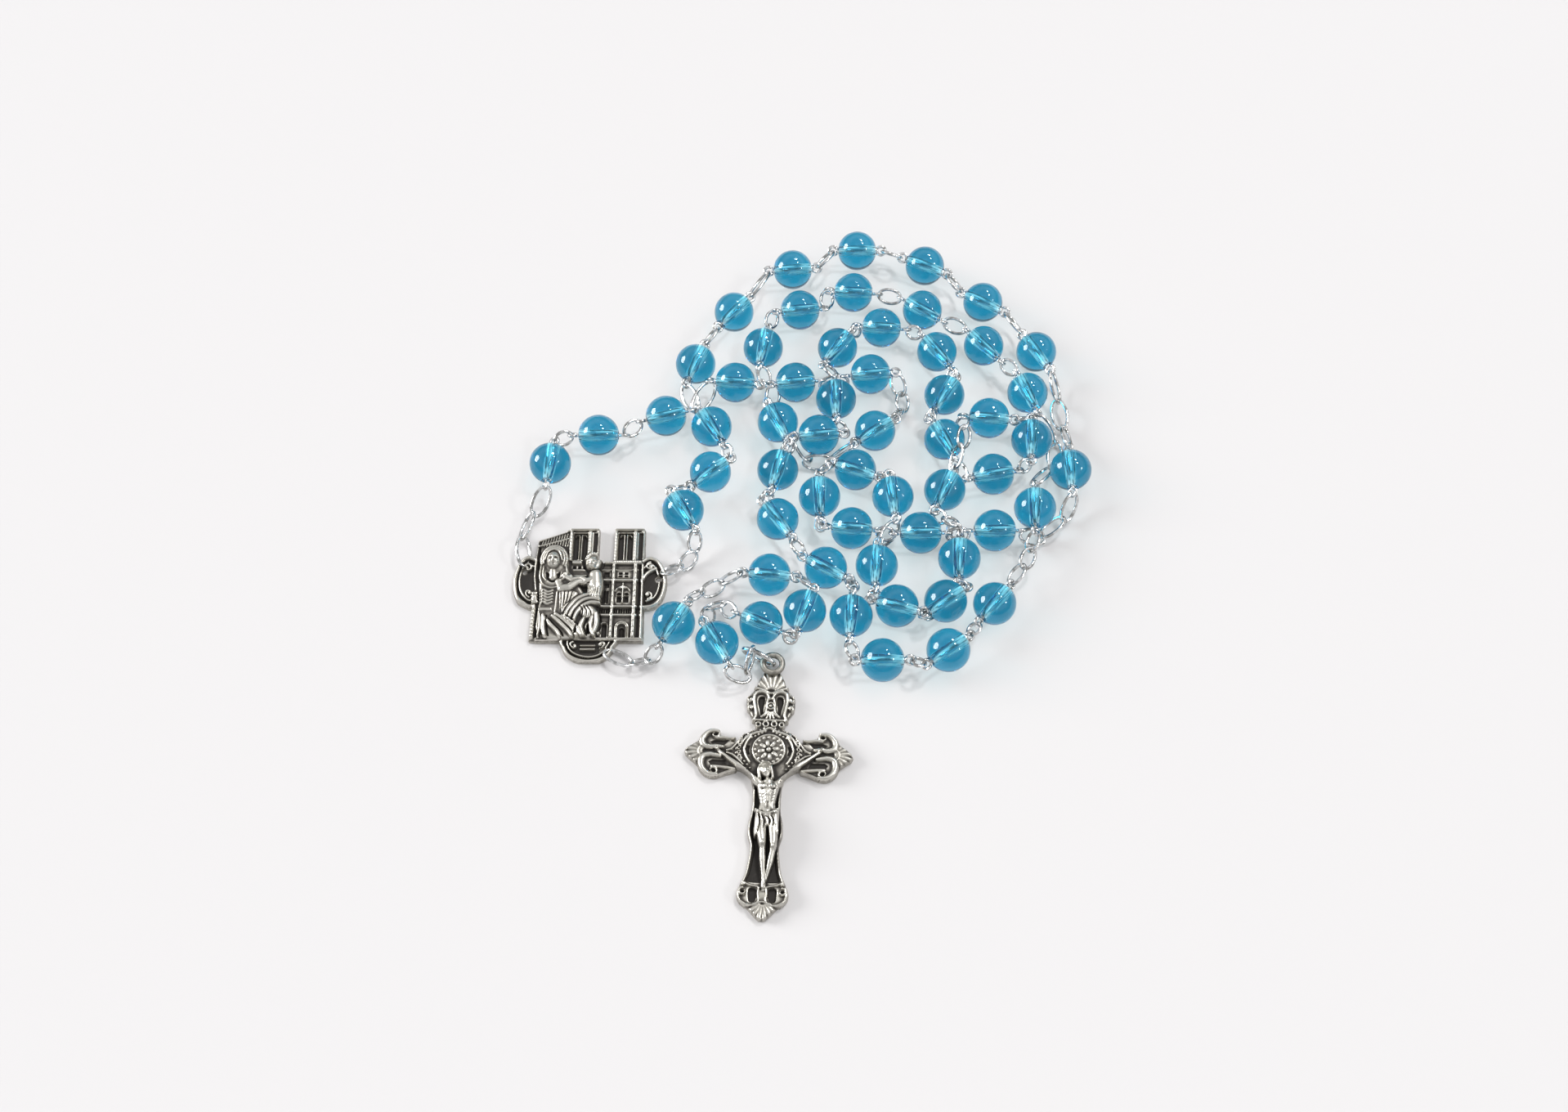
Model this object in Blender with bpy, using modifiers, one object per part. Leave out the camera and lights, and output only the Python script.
"""A five-decade rosary laid loosely on a flat surface.

All lengths below are millimetres, written to Blender in metres. +Z is up, +Y runs towards the far
end of the laid-out rosary, and the origin is under the middle of it, on the surface it lies on.
A bead is written (x, y, heading): its place, and the direction its pin runs in degrees from +X,
following the chain from the right ear of the centrepiece, round the loop, to the left ear.
"""

import math

import bmesh
import bpy
from mathutils import Matrix, Vector

MM = 0.001

# Driving dimensions
BEAD_RADIUS = 4.0
BORE_RADIUS = 0.75
BEAD_STEPS = 12
BEAD_ARC_POINTS = 7
PIN_RADIUS = 0.35
PIN_STICKOUT = 0.5
CHAIN_PULL = 3.0
LINK_SLACK = 0.9
LINK_STEPS = 3
CHAIN_STEPS = 2
WELD_DISTANCE = 0.000001

EAR_RING_CENTRE = (-21.3, 0.1, 2.0)
EAR_RING_RADIUS = 1.4
CRUCIFIX_RING_CENTRE = (-8.9, -23.4, 2.0)
CRUCIFIX_RING_SIZE = (3.2, 1.6)
CRUCIFIX_RING_HEADING = -28.0
RING_WIRE_RADIUS = 0.35
RING_STEPS = 16

CASTING_THICKNESS = 1.8
RELIEF_ROOT = CASTING_THICKNESS - 0.6
CROSS_CENTRE = (-7.0, -41.5)
CROSS_LEAN = -3.0
CENTREPIECE_CENTRE = (-40.9, -8.2)
LOOP_RADIUS = 1.75
LOOP_WIRE_RADIUS = 0.55
BALL_SEGMENTS = 12
BALL_RINGS = 8
DISC_SEGMENTS = 20

# The loop, bead by bead
DECADE_1 = [
    (-23.5, 6.5, 120), (-18.5, 15, 40), (-18.5, 25.5, 120), (-22, 40.5, 70), (-14.5, 53.5, 50),
    (-2.5, 64.5, 5), (11, 69.5, 0), (25, 65.5, -25), (36.5, 56, -30), (46.5, 43.5, -60),
]
OUR_FATHER_1 = (51, 15.5, -90)
DECADE_2 = [
    (35.5, 2, 180), (21.5, 1.5, 180), (8.5, 2.5, 175), (2.5, 9.5, 90), (9.5, 15.5, -20),
    (16.5, 9.5, -85), (13, -5.5, -95), (16.5, -14, -15), (25.5, -13, 35), (28.5, -4, 85),
]
OUR_FATHER_2 = (26.5, 11, 65)
DECADE_3 = [
    (36, 27.5, -5), (44, 22.5, -95), (36, 14.5, 190), (27, 22.5, 115), (27.5, 33, 60),
    (26.5, 43.5, 125), (15.5, 49.5, 175), (6.5, 44.5, 235), (6, 32, -90), (2.5, 23.5, 185),
]
OUR_FATHER_3 = (13.5, 24.5, 35)
DECADE_4 = [
    (13, 38, 185), (-2, 36, 185), (-5.5, 26.5, -65), (-5.5, 15.5, -105), (-5.5, 4.5, -55),
    (3.5, -6, -30), (8, -16, -95), (13.5, -25, 0), (25.5, -23, 35), (34.5, -13.5, 50),
]
OUR_FATHER_4 = (43.5, 7, 85)
DECADE_5 = [
    (44, 33.5, 110), (36, 45, 130), (24, 54, 145), (10, 58.5, 175), (-1, 54, 185),
    (-8.5, 44.5, -100), (-14, 36, 175), (-27.5, 28, 195), (-40.5, 23.5, 180), (-49.5, 17, -95),
]

# The pendant, from the foot of the centrepiece to the crucifix
PENDANT_OUR_FATHER_1 = (-24.5, -17.5, 60)
PENDANT_HAIL_MARYS = [(-7, -7.5, -5), (-0.5, -15, -110), (-8.5, -17.5, 155)]
PENDANT_OUR_FATHER_2 = (-16.5, -21.5, -60)

# Where the three-link chains lie between two beads, (x, y, z)
CHAIN_1_TO_OUR_FATHER = [(50, 34.5, 2.2), (51, 28, 1.4)]
CHAIN_OUR_FATHER_TO_2 = [(50.5, 7.5, 2.6), (47, 4, 1.4), (43.5, 1.5, 1.4)]
CHAIN_2_TO_OUR_FATHER = [(29.5, 2, 4.4), (27.2, 3.4, 5), (25, 4.8, 4.4)]
CHAIN_OUR_FATHER_TO_3 = [(29.3, 17.6, 5.5), (30.2, 21.5, 7.8), (31.2, 25.3, 6.2)]
CHAIN_3_TO_OUR_FATHER = [(-2.6, 20.8, 2.6), (1, 18.5, 1.4), (5, 19, 1.4), (8, 20.3, 2.6)]
CHAIN_OUR_FATHER_TO_4 = [(18.8, 30, 1.6), (19.4, 35, 1.8)]
CHAIN_4_TO_OUR_FATHER = [(39, -7.5, 5), (42, -3, 5)]
CHAIN_OUR_FATHER_TO_5 = [(45.3, 14, 2.2), (48.6, 19, 1.4), (48.8, 25, 1.4)]
CHAIN_LEFT_EAR = [(-51.5, 10, 3), (-52, 6, 1.4), (-54.4, 3, 1.4), (-55, -0.5, 1.4)]
CHAIN_RIGHT_EAR = [(-21.9, -2.3, 1.6), (-22.8, -4.4, 1.4), (-24.4, -6.4, 1.4)]
CHAIN_FOOT = [(-31.6, -24.6, 1.4), (-28.6, -23.9, 2.2)]
CHAIN_PENDANT_MIDDLE = [(-21.2, -11.2, 2.8), (-17.5, -9, 1.4), (-14.2, -7.3, 2.8)]
CHAIN_PENDANT_LOWER = [(-14.2, -13.4, 2.8), (-16.8, -12.6, 1.4), (-18.8, -14.6, 2.6)]
CHAIN_CRUCIFIX = [(-13, -26.9, 2.4), (-11.4, -26.3, 1.8)]
# Where the link between two neighbouring beads passes over or under another one
LINK_1_3_TO_4 = [(-22.3, 32.4, 2.8)]
LINK_2_1_TO_2 = [(28.5, 1.7, 2.9)]
LINK_2_2_TO_3 = [(15, 2, 5)]
LINK_2_6_TO_7 = [(15.2, 2, 2.9)]
LINK_3_3_TO_4 = [(30.3, 16.4, 2.6)]
LINK_3_8_TO_9 = [(5, 38.8, 4.6)]
LINK_4_1_TO_2 = [(5.5, 37, 2.4)]
LINK_4_2_TO_3 = [(-8.8, 33, 2.9)]
LINK_5_6_TO_7 = [(-7.8, 37.9, 4.8)]
LINK_5_7_TO_8 = [(-20.7, 33.2, 5.2)]
LINK_PENDANT_1_TO_2 = [(-0.2, -8.9, 2.6)]


def clear_scene():
    for obj in list(bpy.data.objects):
        bpy.data.objects.remove(obj, do_unlink=True)


def new_collection(name):
    collection = bpy.data.collections.new(name)
    bpy.context.scene.collection.children.link(collection)
    return collection


def new_material(name, color, roughness, metallic, transmission=0.0):
    material = bpy.data.materials.new(name)
    material.use_nodes = True
    shader = material.node_tree.nodes["Principled BSDF"]
    shader.inputs["Base Color"].default_value = (*color, 1.0)
    shader.inputs["Roughness"].default_value = roughness
    shader.inputs["Metallic"].default_value = metallic
    shader.inputs["Transmission Weight"].default_value = transmission
    material.diffuse_color = (*color, 1.0)
    return material


def glass(name):
    return new_material(name, (0.02, 0.34, 0.55), 0.05, 0.0, 0.8)


def wire_metal(name):
    return new_material(name, (0.82, 0.83, 0.84), 0.15, 1.0)


def cast_metal(name):
    return new_material(name, (0.60, 0.59, 0.55), 0.35, 1.0)


def add_object(name, data, collection, material):
    obj = bpy.data.objects.new(name, data)
    collection.objects.link(obj)
    data.materials.clear()
    data.materials.append(material)
    return obj


def as_cutter(obj):
    """Keeps a helper out of the render: it only shapes another object."""
    obj.hide_render = True
    obj.display_type = "WIRE"
    return obj


def new_helper_collection(name, helpers):
    collection = bpy.data.collections.new(name)
    helpers.children.link(collection)
    return collection


def combine(obj, operation, cutters):
    boolean = obj.modifiers.new(operation.lower(), "BOOLEAN")
    boolean.operation = operation
    boolean.operand_type = "COLLECTION"
    boolean.collection = cutters
    boolean.solver = "EXACT"


def direction(heading):
    turn = math.radians(heading)
    return Vector((math.cos(turn), math.sin(turn), 0.0))


# Beads


def bead_profile():
    """Half section of a bead about its bore: down the outside, then back up the bore."""
    end = math.asin(BORE_RADIUS / BEAD_RADIUS)
    points = []
    for i in range(BEAD_ARC_POINTS):
        turn = end + (math.pi - 2 * end) * i / (BEAD_ARC_POINTS - 1)
        points.append((BEAD_RADIUS * math.sin(turn) * MM, 0.0, BEAD_RADIUS * math.cos(turn) * MM))
    mesh = bpy.data.meshes.new("bead_profile")
    edges = [(i, (i + 1) % len(points)) for i in range(len(points))]
    mesh.from_pydata(points, edges, [])
    return mesh


def add_bead(name, place, collection):
    """One bead on its own turning axis, which is its local Z."""
    x, y, heading = place
    bead = add_object(name, bead_profile(), collection, glass(name))
    bead.location = Vector((x, y, BEAD_RADIUS)) * MM
    bead.rotation_mode = "QUATERNION"
    bead.rotation_quaternion = direction(heading).to_track_quat("Z", "Y")
    screw = bead.modifiers.new("turned", "SCREW")
    screw.steps = BEAD_STEPS
    screw.render_steps = BEAD_STEPS
    screw.use_merge_vertices = True
    screw.merge_threshold = WELD_DISTANCE * 10
    screw.use_smooth_shade = True
    return bead


def add_decade(prefix, places, collection):
    for number, place in enumerate(places, start=1):
        add_bead(f"{prefix}_{number:02d}", place, collection)


# Wires and chains


def bore_ends(place):
    """Where the pin enters and leaves a bead, just proud of the glass."""
    x, y, heading = place
    centre = Vector((x, y, BEAD_RADIUS))
    reach = direction(heading) * (BEAD_RADIUS + PIN_STICKOUT)
    return centre - reach, centre + reach


def hermite(start, end, leave, arrive, t):
    """A point on the smooth curve that leaves the start one way and arrives at the end another."""
    weight = 2 * t**3 - 3 * t**2 + 1
    return (
        start * weight
        + end * (1 - weight)
        + leave * (t**3 - 2 * t**2 + t)
        + arrive * (t**3 - t**2)
    )


def smooth_run(points, leave, arrive, steps):
    """Points along one smooth curve through the given ones, without the last of them."""
    tangents = [leave]
    for before, after in zip(points, points[2:]):
        tangents.append((after - before) / 2)
    tangents.append(arrive)
    run = []
    for i in range(len(points) - 1):
        for step in range(steps):
            run.append(hermite(points[i], points[i + 1], tangents[i], tangents[i + 1], step / steps))
    return run


def thread(stops):
    """The route of one wire. A stop is a bead, or a list of chain points on the way to the next bead."""
    route = []
    leave = None
    along = None
    chain = []
    for stop in stops:
        if isinstance(stop, list):
            chain = [Vector(point) for point in stop]
            continue
        entry, way_out = bore_ends(stop)
        into = direction(stop[2])
        if leave is not None:
            pull = CHAIN_PULL if chain else max(CHAIN_PULL, LINK_SLACK * (entry - leave).length)
            steps = CHAIN_STEPS if chain else LINK_STEPS
            route += smooth_run([leave, *chain, entry], along * pull, into * pull, steps)
        elif chain:
            route += smooth_run([*chain, entry], chain[1] - chain[0], into * CHAIN_PULL, CHAIN_STEPS)
        route.append(entry)
        leave, along, chain = way_out, into, []
    if leave is None:
        return smooth_run(chain, chain[1] - chain[0], chain[-1] - chain[-2], CHAIN_STEPS) + [chain[-1]]
    if chain:
        arrive = chain[-1] - chain[-2]
        return route + smooth_run([leave, *chain], along * CHAIN_PULL, arrive, CHAIN_STEPS) + [chain[-1]]
    return route + [leave]


def add_wire(name, route, radius, collection, material=None):
    curve = bpy.data.curves.new(name, "CURVE")
    curve.dimensions = "3D"
    curve.bevel_depth = radius * MM
    curve.bevel_resolution = 2
    curve.use_fill_caps = True
    spline = curve.splines.new("POLY")
    spline.points.add(len(route) - 1)
    for point, place in zip(spline.points, route):
        point.co = (*(place * MM), 1.0)
    return add_object(name, curve, collection, material or wire_metal(name))


def curve_to_mesh(obj, collection):
    """Turns a curve into a mesh object of the same name, its place baked in and its caps welded on."""
    bpy.context.view_layer.update()
    evaluated = obj.evaluated_get(bpy.context.evaluated_depsgraph_get())
    mesh = bpy.data.meshes.new_from_object(evaluated)
    mesh.transform(obj.matrix_world)
    name = obj.name
    material = obj.data.materials[0]
    bpy.data.objects.remove(obj, do_unlink=True)
    shape = bmesh.new()
    shape.from_mesh(mesh)
    bmesh.ops.remove_doubles(shape, verts=shape.verts, dist=WELD_DISTANCE)
    bmesh.ops.recalc_face_normals(shape, faces=shape.faces)
    shape.to_mesh(mesh)
    shape.free()
    return add_object(name, mesh, collection, material)


def add_ring(name, centre, size, frame, collection):
    """A closed oval of wire: size holds its half length and half height along the frame's X and Y."""
    points = []
    for i in range(RING_STEPS):
        turn = 2 * math.pi * i / RING_STEPS
        flat = Vector((size[0] * math.cos(turn), size[1] * math.sin(turn), 0.0))
        points.append(Vector(centre) + frame @ flat)
    ring = add_wire(name, points, RING_WIRE_RADIUS, collection)
    ring.data.splines[0].use_cyclic_u = True
    return ring


def add_strand(name, wire_stops, beads, collection, helpers):
    """Beads and the wire through them as one solid."""
    wire = add_wire(name, thread(wire_stops), PIN_RADIUS, collection, glass(name))
    strand = curve_to_mesh(wire, collection)
    cutters = new_helper_collection(f"{name}_beads", helpers)
    for number, (x, y, heading) in enumerate(beads, start=1):
        shape = bmesh.new()
        bmesh.ops.create_uvsphere(
            shape, u_segments=BEAD_STEPS, v_segments=BEAD_ARC_POINTS, radius=BEAD_RADIUS * MM
        )
        mesh = bpy.data.meshes.new("solid_bead")
        shape.to_mesh(mesh)
        shape.free()
        ball = as_cutter(add_object(f"{name}_bead_{number}", mesh, cutters, strand.data.materials[0]))
        ball.location = Vector((x, y, BEAD_RADIUS)) * MM
        ball.rotation_mode = "QUATERNION"
        ball.rotation_quaternion = direction(heading).to_track_quat("Z", "Y")
    combine(strand, "UNION", cutters)
    return strand


# Castings: local +Y points to the top, local +Z out of the face, and the flat back is at Z = 0


def place_casting(obj, centre, lean):
    obj.location = Vector((*centre, 0.0)) * MM
    obj.rotation_euler = (0.0, 0.0, math.radians(lean))


def add_outline(name, points, bottom, top, collection, material):
    """A flat outline, filled and thickened between two heights."""
    curve = bpy.data.curves.new(name, "CURVE")
    curve.dimensions = "2D"
    curve.fill_mode = "BOTH"
    curve.extrude = (top - bottom) / 2 * MM
    spline = curve.splines.new("POLY")
    spline.points.add(len(points) - 1)
    spline.use_cyclic_u = True
    for point, (x, y) in zip(spline.points, points):
        point.co = (x * MM, y * MM, 0.0, 1.0)
    obj = add_object(name, curve, collection, material)
    obj.location.z = (top + bottom) / 2 * MM
    return curve_to_mesh(obj, collection)


def add_limb(name, points, collection, material):
    """A round limb through (x, y, z, radius) points, blunt at both ends."""
    curve = bpy.data.curves.new(name, "CURVE")
    curve.dimensions = "3D"
    curve.bevel_depth = MM
    curve.bevel_resolution = 2
    curve.use_fill_caps = True
    spline = curve.splines.new("POLY")
    spline.points.add(len(points) - 1)
    for point, (x, y, z, radius) in zip(spline.points, points):
        point.co = (x * MM, y * MM, z * MM, 1.0)
        point.radius = radius
    return curve_to_mesh(add_object(name, curve, collection, material), collection)


def add_ball(name, centre, radius, flatten, collection, material):
    shape = bmesh.new()
    bmesh.ops.create_uvsphere(
        shape, u_segments=BALL_SEGMENTS, v_segments=BALL_RINGS, radius=radius * MM
    )
    bmesh.ops.scale(shape, vec=(1.0, 1.0, flatten), verts=shape.verts)
    bmesh.ops.translate(shape, vec=Vector(centre) * MM, verts=shape.verts)
    mesh = bpy.data.meshes.new(name)
    shape.to_mesh(mesh)
    shape.free()
    return add_object(name, mesh, collection, material)


def add_disc(name, centre, radius, bottom, top, collection, material):
    shape = bmesh.new()
    wide = radius * MM
    deep = (top - bottom) * MM
    bmesh.ops.create_cone(
        shape, cap_ends=True, segments=DISC_SEGMENTS, radius1=wide, radius2=wide, depth=deep
    )
    middle = Vector((centre[0], centre[1], (top + bottom) / 2))
    bmesh.ops.translate(shape, vec=middle * MM, verts=shape.verts)
    mesh = bpy.data.meshes.new(name)
    shape.to_mesh(mesh)
    shape.free()
    return add_object(name, mesh, collection, material)


def ring_points(centre, radius, wire_radius, steps):
    points = []
    for i in range(steps):
        turn = 2 * math.pi * i / steps
        points.append((centre[0] + radius * math.cos(turn), centre[1] + radius * math.sin(turn)))
    return [(x, y, centre[2], wire_radius) for x, y in points]


def add_loop(name, centre, collection, material):
    """The closed loop that a ring passes through."""
    loop = ring_points(centre, LOOP_RADIUS, LOOP_WIRE_RADIUS, RING_STEPS)
    curve = bpy.data.curves.new(name, "CURVE")
    curve.dimensions = "3D"
    curve.bevel_depth = MM
    curve.bevel_resolution = 2
    spline = curve.splines.new("POLY")
    spline.points.add(len(loop) - 1)
    spline.use_cyclic_u = True
    for point, (x, y, z, radius) in zip(spline.points, loop):
        point.co = (x * MM, y * MM, z * MM, 1.0)
        point.radius = radius
    return curve_to_mesh(add_object(name, curve, collection, material), collection)


# Right half of the cross, from the fan at the top down to the tip of the foot
CROSS_HALF_OUTLINE = [
    (0.9, 15.2), (2.1, 13.7), (2.9, 11.9), (3.7, 11.1), (4.3, 9.7), (4.3, 8.3), (3.7, 7.0), (3.0, 5.6),
    (2.6, 4.3), (4.4, 3.2), (5.8, 2.1), (7.2, 3.0), (9.4, 4.2), (10.8, 3.7), (12.6, 2.3), (15.0, 0.0),
    (12.8, -2.6), (11.0, -4.5), (9.4, -5.1), (7.4, -4.4), (5.6, -3.6), (3.7, -4.6), (2.5, -6.4),
    (2.5, -11.2), (3.0, -13.6), (3.0, -15.6), (2.5, -17.6), (2.7, -20.0), (3.1, -22.6), (3.9, -24.4),
    (4.2, -26.4), (3.8, -28.0), (2.6, -29.0), (0.5, -31.3),
]
CROSS_LOOP_CENTRE = (0.0, 16.7, 2.2)
ROSETTE_RADIUS = 3.1
ROSETTE_RELIEF = 0.6
HEAD = (-0.5, -4.3, 3.1)
HEAD_RADIUS = 1.5
HEAD_FLATTEN = 0.9
# The figure's limbs, (x, y, z, radius)
CORPUS_LIMBS = {
    "left_arm": [(-9.3, 0.3, 2.0, 0.6), (-5.3, -3.2, 2.3, 0.6), (-1.2, -7.0, 2.5, 0.9)],
    "right_arm": [(9.3, 0.6, 2.0, 0.6), (5.6, -3.0, 2.3, 0.6), (1.6, -7.1, 2.5, 0.9)],
    "torso": [(0.2, -5.6, 2.3, 1.6), (0.3, -8.4, 2.5, 1.8), (0.2, -11.4, 2.3, 1.4), (0.2, -15.0, 2.3, 1.8)],
    "left_leg": [(-0.6, -14.6, 2.3, 1.1), (-0.2, -18.4, 2.8, 0.8), (0.1, -24.6, 1.9, 0.6)],
    "right_leg": [(1.2, -14.6, 2.3, 1.1), (1.3, -18.4, 2.6, 0.8), (0.5, -22.4, 1.9, 0.55)],
}


def mirrored(half):
    return half + [(-x, y) for x, y in reversed(half)]


def add_crucifix(collection, helpers):
    """Cross plate with its rosette, corpus and top loop, as one casting."""
    metal = cast_metal("crucifix")
    outline = mirrored(CROSS_HALF_OUTLINE)
    cross = add_outline("crucifix", outline, 0.0, CASTING_THICKNESS, collection, metal)
    relief = new_helper_collection("crucifix_relief", helpers)
    rosette_top = CASTING_THICKNESS + ROSETTE_RELIEF
    add_loop("cross_loop", CROSS_LOOP_CENTRE, relief, metal)
    add_disc("rosette", (0.0, 0.0), ROSETTE_RADIUS, RELIEF_ROOT, rosette_top, relief, metal)
    for name, limb in CORPUS_LIMBS.items():
        add_limb(name, limb, relief, metal)
    add_ball("head", HEAD, HEAD_RADIUS, HEAD_FLATTEN, relief, metal)
    finish_casting(cross, relief, CROSS_CENTRE, CROSS_LEAN)
    return cross


def finish_casting(casting, relief, centre, lean):
    """Joins the relief on, then puts the casting and its helpers in place."""
    place_casting(casting, centre, lean)
    for helper in relief.objects:
        as_cutter(helper)
        helper.parent = casting
    combine(casting, "UNION", relief)


# The church front, anticlockwise from its lower left corner
CHURCH_OUTLINE = [
    (-10.0, -11.8), (10.9, -11.8), (10.6, -2.0), (10.3, 12.2), (4.3, 12.2), (4.2, 4.9), (1.6, 4.9),
    (1.5, 12.2), (-4.1, 12.2), (-4.3, 10.8), (-9.9, 9.2), (-10.6, 2.0),
]
LEFT_EAR = [(-9.6, 5.2), (-12.2, 5.4), (-13.8, 3.2), (-14.0, 0.8), (-13.4, -1.8), (-11.8, -3.4), (-9.6, -3.6)]
RIGHT_EAR = [(9.8, 5.0), (12.6, 5.2), (14.0, 2.8), (14.2, 0.4), (13.6, -2.2), (12.0, -4.0), (9.8, -4.2)]
FOOT_EAR = [
    (-3.6, -11.0), (-3.3, -13.2), (-1.7, -14.9), (0.7, -15.5), (3.1, -15.0), (4.7, -13.4), (4.9, -11.0),
]
EAR_WIRE_RADIUS = 0.6
EAR_WIRE_HEIGHT = 0.95
# Recesses: (middle x, foot y, width, height) under a round head
RECESSES = [
    (-2.9, 5.6, 1.1, 4.6), (-0.8, 5.6, 1.1, 4.6), (5.7, 5.6, 1.1, 4.6), (7.8, 5.6, 1.1, 4.6),
    (6.0, 1.4, 1.0, 1.6), (8.0, 1.4, 1.0, 1.6), (6.0, -3.6, 1.1, 1.6), (8.0, -3.6, 1.1, 1.6),
    (7.6, -11.0, 2.2, 2.6),
]
RECESS_DEPTH = 0.7
CUT_CLEARANCE = 1.0
MOTHER_ROBE = [
    (-9.0, -11.2), (1.4, -11.2), (0.6, -6.0), (-1.2, -1.6), (-3.4, 1.4), (-4.4, 5.6), (-6.4, 7.4),
    (-8.6, 5.8), (-9.2, 0.0),
]
MOTHER_RELIEF = 1.0
MOTHER_ARM = [(-3.8, -0.4, 2.2, 1.1), (-0.6, -1.4, 2.7, 0.9), (1.8, -0.6, 2.7, 0.8)]
CHILD_ROBE = [(0.0, -5.4), (3.2, -5.8), (3.4, -1.0), (2.6, 2.6), (1.2, 3.8), (0.0, 2.0)]
CHILD_RELIEF = 1.3
MOTHER_HEAD = (-6.5, 5.1, 2.7)
MOTHER_HEAD_RADIUS = 1.9
CHILD_HEAD = (1.1, 4.6, 2.6)
CHILD_HEAD_RADIUS = 1.5
HEAD_RELIEF_FLATTEN = 0.8
ARCH_STEPS = 6


def arch_points(x, y, width, height):
    """A round-headed outline: a straight sill and sides under half a circle."""
    half = width / 2
    points = [(x - half, y), (x + half, y)]
    for i in range(ARCH_STEPS + 1):
        turn = math.pi * i / ARCH_STEPS
        points.append((x + half * math.cos(turn), y + height + half * math.sin(turn)))
    return points


def add_centrepiece(collection, helpers):
    """Church front with two towers, a mother and child in relief, and three ears."""
    metal = cast_metal("centrepiece")
    church = add_outline("centrepiece", CHURCH_OUTLINE, 0.0, CASTING_THICKNESS, collection, metal)
    cuts = new_helper_collection("centrepiece_recesses", helpers)
    floor = CASTING_THICKNESS - RECESS_DEPTH
    for number, recess in enumerate(RECESSES, start=1):
        outline = arch_points(*recess)
        add_outline(f"recess_{number}", outline, floor, CASTING_THICKNESS + CUT_CLEARANCE, cuts, metal)
    for cutter in cuts.objects:
        as_cutter(cutter)
        cutter.parent = church
    combine(church, "DIFFERENCE", cuts)
    relief = new_helper_collection("centrepiece_relief", helpers)
    for name, route in (("left_ear", LEFT_EAR), ("right_ear", RIGHT_EAR), ("foot_ear", FOOT_EAR)):
        add_limb(name, [(x, y, EAR_WIRE_HEIGHT, EAR_WIRE_RADIUS) for x, y in route], relief, metal)
    mother_top = CASTING_THICKNESS + MOTHER_RELIEF
    child_top = CASTING_THICKNESS + CHILD_RELIEF
    add_outline("mother", MOTHER_ROBE, RELIEF_ROOT, mother_top, relief, metal)
    add_outline("child", CHILD_ROBE, RELIEF_ROOT, child_top, relief, metal)
    add_limb("mother_arm", MOTHER_ARM, relief, metal)
    add_ball("mother_head", MOTHER_HEAD, MOTHER_HEAD_RADIUS, HEAD_RELIEF_FLATTEN, relief, metal)
    add_ball("child_head", CHILD_HEAD, CHILD_HEAD_RADIUS, HEAD_RELIEF_FLATTEN, relief, metal)
    finish_casting(church, relief, CENTREPIECE_CENTRE, 0.0)
    return church


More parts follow.
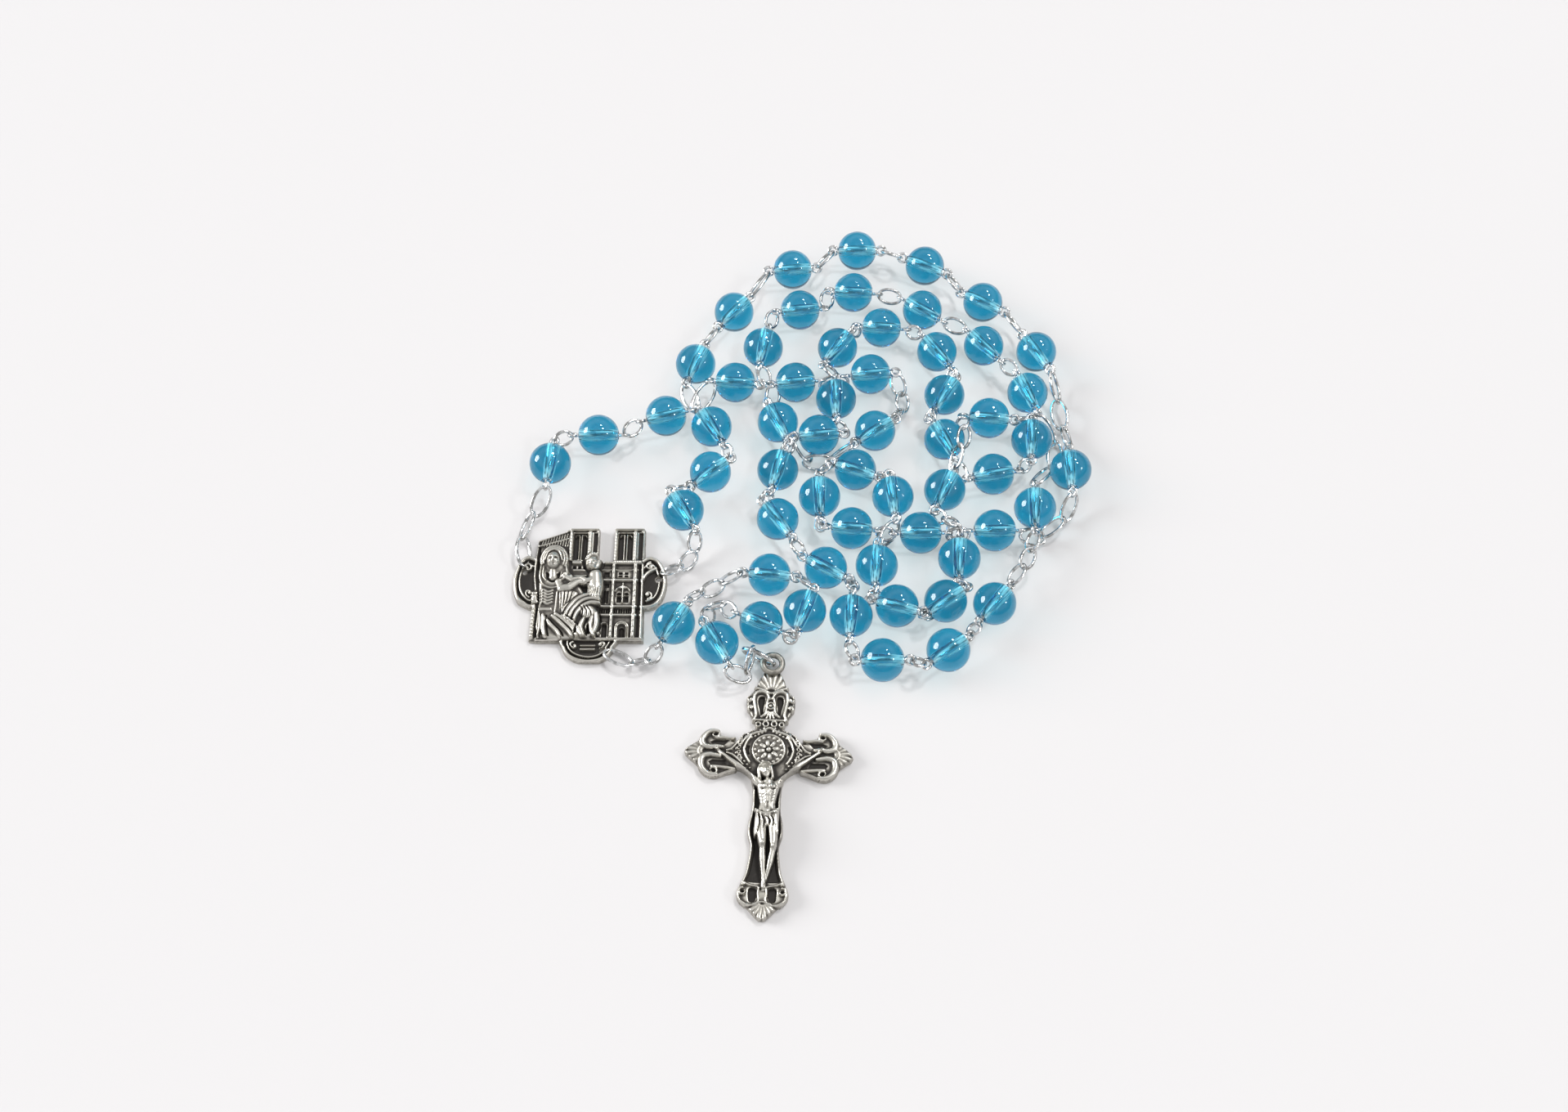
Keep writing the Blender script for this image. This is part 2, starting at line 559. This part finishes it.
def add_loop_of_beads(collection, helpers):
    """Five decades with the four beads between them, and the wires that hold them."""
    add_decade("bead_decade_1", DECADE_1, collection)
    add_decade("bead_decade_2", DECADE_2, collection)
    add_decade("bead_decade_4", DECADE_4, collection)
    add_decade("bead_decade_5", DECADE_5, collection)
    our_fathers = [OUR_FATHER_1, OUR_FATHER_2, OUR_FATHER_3, OUR_FATHER_4]
    add_decade("bead_our_father", our_fathers, collection)
    first_half = [
        *DECADE_1[:3], LINK_1_3_TO_4, *DECADE_1[3:],
        CHAIN_1_TO_OUR_FATHER, OUR_FATHER_1, CHAIN_OUR_FATHER_TO_2,
        DECADE_2[0], LINK_2_1_TO_2, DECADE_2[1], LINK_2_2_TO_3, *DECADE_2[2:6], LINK_2_6_TO_7,
        *DECADE_2[6:], CHAIN_2_TO_OUR_FATHER, OUR_FATHER_2,
    ]
    add_wire("wire_decades_1_2", thread(first_half), PIN_RADIUS, collection)
    middle = [
        CHAIN_OUR_FATHER_TO_3,
        *DECADE_3[:3], LINK_3_3_TO_4, *DECADE_3[3:8], LINK_3_8_TO_9, *DECADE_3[8:],
    ]
    add_strand("strand_decade_3", middle, DECADE_3, collection, helpers)
    second_half = [
        CHAIN_3_TO_OUR_FATHER, OUR_FATHER_3, CHAIN_OUR_FATHER_TO_4,
        DECADE_4[0], LINK_4_1_TO_2, DECADE_4[1], LINK_4_2_TO_3, *DECADE_4[2:],
        CHAIN_4_TO_OUR_FATHER, OUR_FATHER_4, CHAIN_OUR_FATHER_TO_5,
        *DECADE_5[:6], LINK_5_6_TO_7, DECADE_5[6], LINK_5_7_TO_8, *DECADE_5[7:], CHAIN_LEFT_EAR,
    ]
    add_wire("wire_decades_4_5", thread(second_half), PIN_RADIUS, collection)


def add_pendant(collection):
    """The short tail from the foot of the centrepiece to the crucifix."""
    add_bead("bead_pendant_our_father_1", PENDANT_OUR_FATHER_1, collection)
    add_decade("bead_pendant_hail_mary", PENDANT_HAIL_MARYS, collection)
    add_bead("bead_pendant_our_father_2", PENDANT_OUR_FATHER_2, collection)
    add_wire("pendant_upper_wire", thread([CHAIN_FOOT, PENDANT_OUR_FATHER_1]), PIN_RADIUS, collection)
    middle = [CHAIN_PENDANT_MIDDLE, PENDANT_HAIL_MARYS[0], LINK_PENDANT_1_TO_2, *PENDANT_HAIL_MARYS[1:]]
    add_wire("pendant_middle_wire", thread(middle), PIN_RADIUS, collection)
    lower = [CHAIN_PENDANT_LOWER, PENDANT_OUR_FATHER_2, CHAIN_CRUCIFIX]
    add_wire("pendant_lower_wire", thread(lower), PIN_RADIUS, collection)


def add_rings(collection):
    flat = Matrix.Identity(3)
    ear_size = (EAR_RING_RADIUS, EAR_RING_RADIUS)
    add_ring("right_ear_ring", EAR_RING_CENTRE, ear_size, flat, collection)
    add_wire("right_ear_chain", thread([CHAIN_RIGHT_EAR]), PIN_RADIUS, collection)
    along = direction(CRUCIFIX_RING_HEADING)
    upright = Matrix((along, Vector((0.0, 0.0, 1.0)), along.cross(Vector((0.0, 0.0, 1.0))))).transposed()
    add_ring("crucifix_ring", CRUCIFIX_RING_CENTRE, CRUCIFIX_RING_SIZE, upright, collection)


def main():
    clear_scene()
    rosary = new_collection("rosary")
    helpers = new_collection("helpers")
    helpers.hide_render = True
    add_loop_of_beads(rosary, helpers)
    add_pendant(rosary)
    add_rings(rosary)
    add_centrepiece(rosary, helpers)
    add_crucifix(rosary, helpers)


main()
